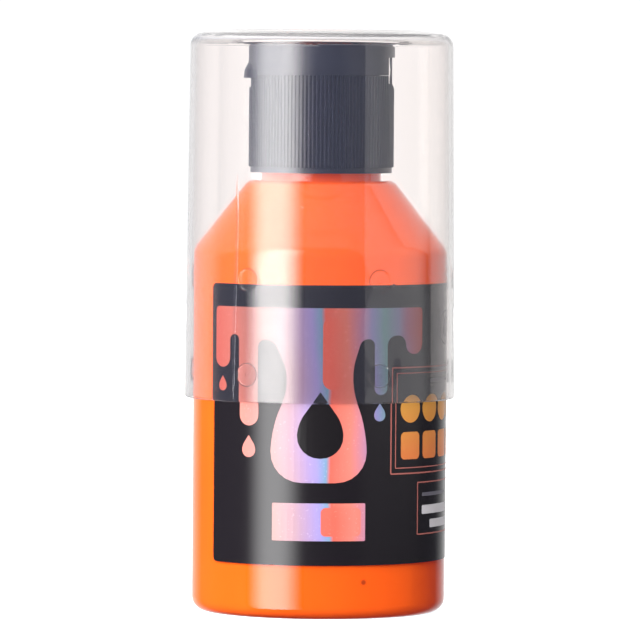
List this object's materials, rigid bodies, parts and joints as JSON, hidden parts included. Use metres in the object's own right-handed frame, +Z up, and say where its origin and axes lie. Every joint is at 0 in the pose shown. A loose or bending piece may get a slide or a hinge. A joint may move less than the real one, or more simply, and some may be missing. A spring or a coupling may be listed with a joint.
{
  "type": "flip-top paint bottle with mixing cup",
  "caption": "Clear bottle of bright orange paint with a screw-on flip-top cap and a clear mixing cup turned over the cap and shoulder.",
  "frame": {"origin": "middle of the bottle's base, on the surface it stands on", "axes": "+Z up along the bottle's axis; the lid's hinge is at +X, its thumb tab at -X, and the label's front faces -Y"},
  "size_m": [0.0518, 0.0518, 0.1116],
  "materials": {
    "bottle_clear": "clear gloss plastic",
    "paint_orange": "wet fluorescent orange paint",
    "label_film": "black film, satin",
    "label_foil": "iridescent foil print",
    "seal_foil": "foil",
    "liner_foam": "foamed plastic",
    "cap_black": "satin moulded plastic",
    "cup_clear": "clear gloss plastic"
  },
  "bodies": {
    "bottle": {"bottle_body": "bottle_clear", "paint_fill": "paint_orange", "label_wrap": "label_film", "induction_seal": "seal_foil"},
    "liner": {"sealing_liner": "liner_foam"},
    "cap": {"closure_base": "cap_black", "hinge_web": "cap_black", "hinge_strap_left": "cap_black", "hinge_strap_right": "cap_black"},
    "lid": {"closure_lid": "cap_black"},
    "cup": {"mixing_cup": "cup_clear"}
  },
  "joints": [
    {"name": "cap_rise", "type": "slide", "parent": "bottle", "child": "liner", "axis": [0, 0, 1], "range_m": [0, 0.0048]},
    {"name": "cap_turn", "type": "hinge", "parent": "liner", "child": "cap", "pos_m": [0, 0, 0.1012], "axis": [0, 0, 1], "range_deg": [0, 540]},
    {"name": "lid_flip", "type": "hinge", "parent": "cap", "child": "lid", "pos_m": [0.01325, 0, 0.10285], "axis": [0, 1, 0], "range_deg": [0, 120.5], "deforming": ["hinge_web", "hinge_strap_left", "hinge_strap_right"]},
    {"name": "cup_lift", "type": "slide", "parent": "liner", "child": "cup", "axis": [0, 0, 1], "range_m": [0, 0.12]}
  ],
  "couplings": [
    {"joint": "cap_rise", "follows": "cap_turn", "m_per_rad": 0.00050532},
    {"joint": "lid_flip", "follows": "cup_lift", "rad_per_m": 17.45}
  ]
}
